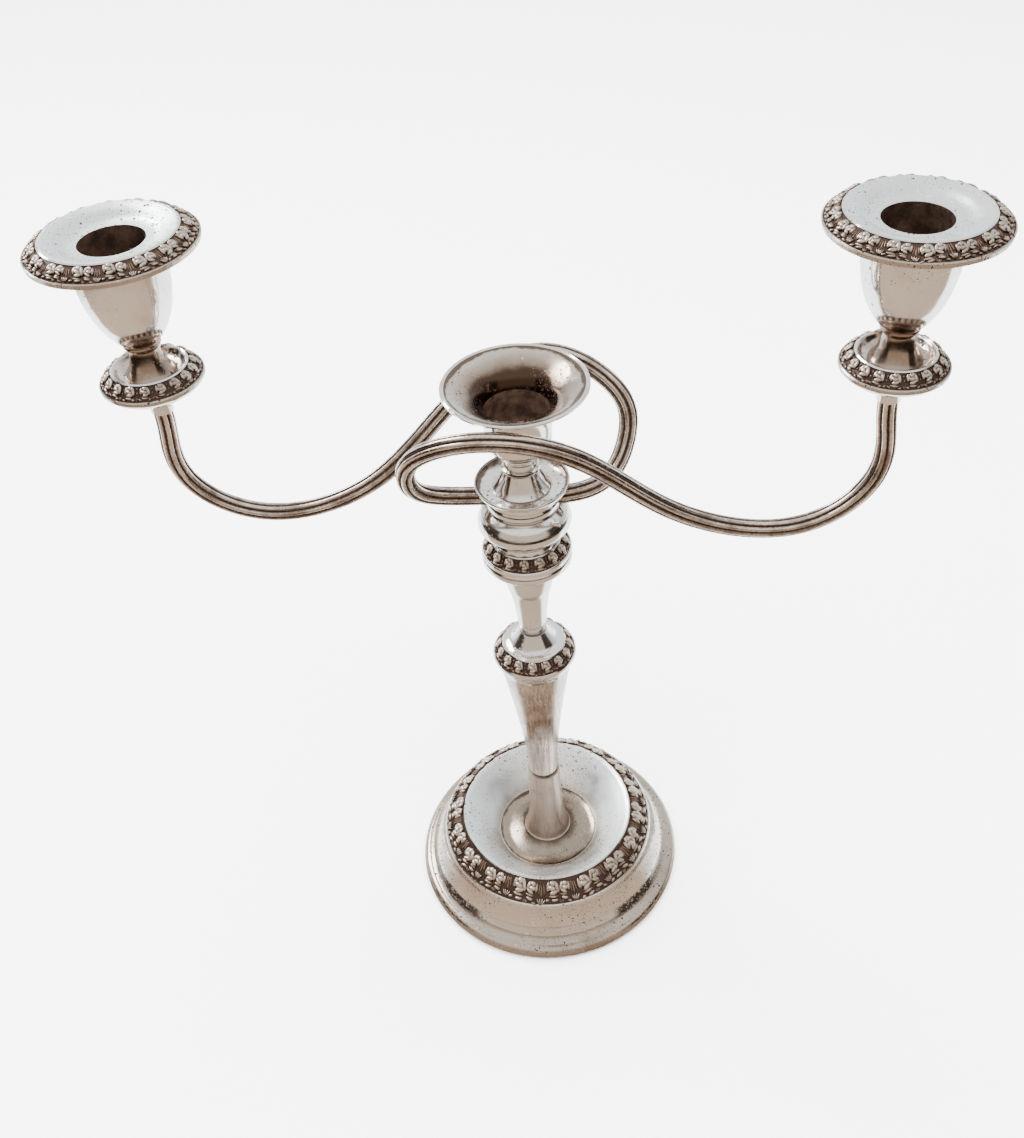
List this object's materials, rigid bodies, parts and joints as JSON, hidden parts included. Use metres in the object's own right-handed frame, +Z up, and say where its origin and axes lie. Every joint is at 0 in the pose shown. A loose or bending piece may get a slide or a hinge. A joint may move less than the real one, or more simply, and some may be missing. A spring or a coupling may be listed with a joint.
{
  "type": "candelabrum",
  "caption": "Silver-plated candlestick with a lift-off branch: scrolling reeded arms, bell-mouthed centre cup, rose borders and removable nozzles.",
  "frame": {"origin": "centre of the base's underside, on the surface it stands on", "axes": "+Z up along the stem, +X along the right arm, -Y towards the viewer"},
  "size_m": [0.3138, 0.122, 0.3334],
  "materials": {
    "silver": "worn polished silver plate",
    "rose_silver": "cast relief with dark tarnish in the recesses",
    "reeded_silver": "reeded, tarnished in the grooves",
    "steel": "plain",
    "filling": "cast plaster filling",
    "felt": "felt"
  },
  "bodies": {
    "candlestick": {"base_shell": "silver", "stem_foot": "silver", "base_border": "rose_silver", "base_weight": "filling", "closing_plate": "steel", "base_felt": "felt", "tie_rod": "steel", "rod_washer": "steel", "rod_nut": "steel", "lower_column": "silver", "knop": "silver", "knop_border": "rose_silver", "upper_column": "silver", "shoulder": "silver", "shoulder_border": "rose_silver", "candle_socket": "silver"},
    "branch_plug": {"plug": "silver", "centre_screw": "steel"},
    "branch": {"hub": "silver", "dish": "silver", "centre_stem": "silver", "centre_cup": "silver", "arm_right": "reeded_silver", "arm_left": "reeded_silver", "ferrule_right": "silver", "ferrule_left": "silver", "pan_bowl_right": "silver", "pan_bowl_left": "silver", "pan_right": "silver", "pan_left": "silver", "pan_border_right": "rose_silver", "pan_border_left": "rose_silver", "cup_foot_right": "silver", "cup_foot_left": "silver", "cup_right": "silver", "cup_left": "silver", "cup_screw_right": "steel", "cup_screw_left": "steel"},
    "nozzle_left_body": {"nozzle_left": "silver", "nozzle_border_left": "rose_silver"},
    "nozzle_right_body": {"nozzle_right": "silver", "nozzle_border_right": "rose_silver"}
  },
  "joints": [
    {"name": "branch_lift", "type": "slide", "parent": "candlestick", "child": "branch_plug", "axis": [0, 0, 1], "range_m": [0, 0.05]},
    {"name": "branch_turn", "type": "hinge", "parent": "branch_plug", "child": "branch", "pos_m": [0, 0, 0.218], "axis": [0, 0, 1], "continuous": true},
    {"name": "nozzle_left_lift", "type": "slide", "parent": "branch", "child": "nozzle_left_body", "axis": [0, 0, 1], "range_m": [0, 0.04]},
    {"name": "nozzle_right_lift", "type": "slide", "parent": "branch", "child": "nozzle_right_body", "axis": [0, 0, 1], "range_m": [0, 0.04]}
  ]
}
